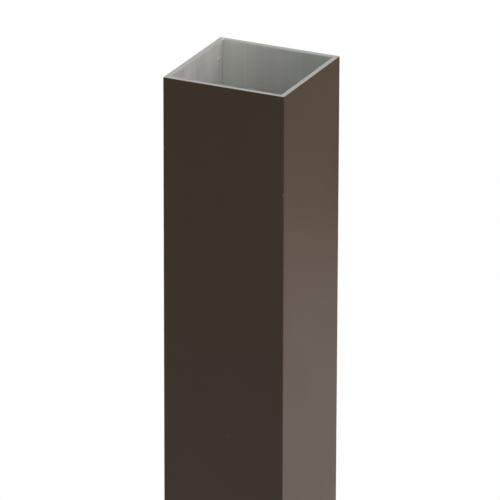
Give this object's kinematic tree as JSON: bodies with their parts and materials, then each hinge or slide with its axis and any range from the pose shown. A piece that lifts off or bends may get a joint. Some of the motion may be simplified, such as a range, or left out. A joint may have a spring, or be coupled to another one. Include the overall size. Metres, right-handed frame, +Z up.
{
  "type": "metal fence post",
  "caption": "Square hollow aluminium fence post, open at both sawn ends, with a brown powder coat outside and bare metal inside.",
  "frame": {"origin": "middle of the open foot, in the plane of its sawn edge", "axes": "+Z up along the post to its head, +X and +Y square to its walls"},
  "size_m": [0.05, 0.05, 1],
  "materials": {
    "powder_coat": "satin",
    "bare_aluminium": "satin"
  },
  "bodies": {
    "root": {"fence_post": "powder_coat"}
  },
  "joints": []
}
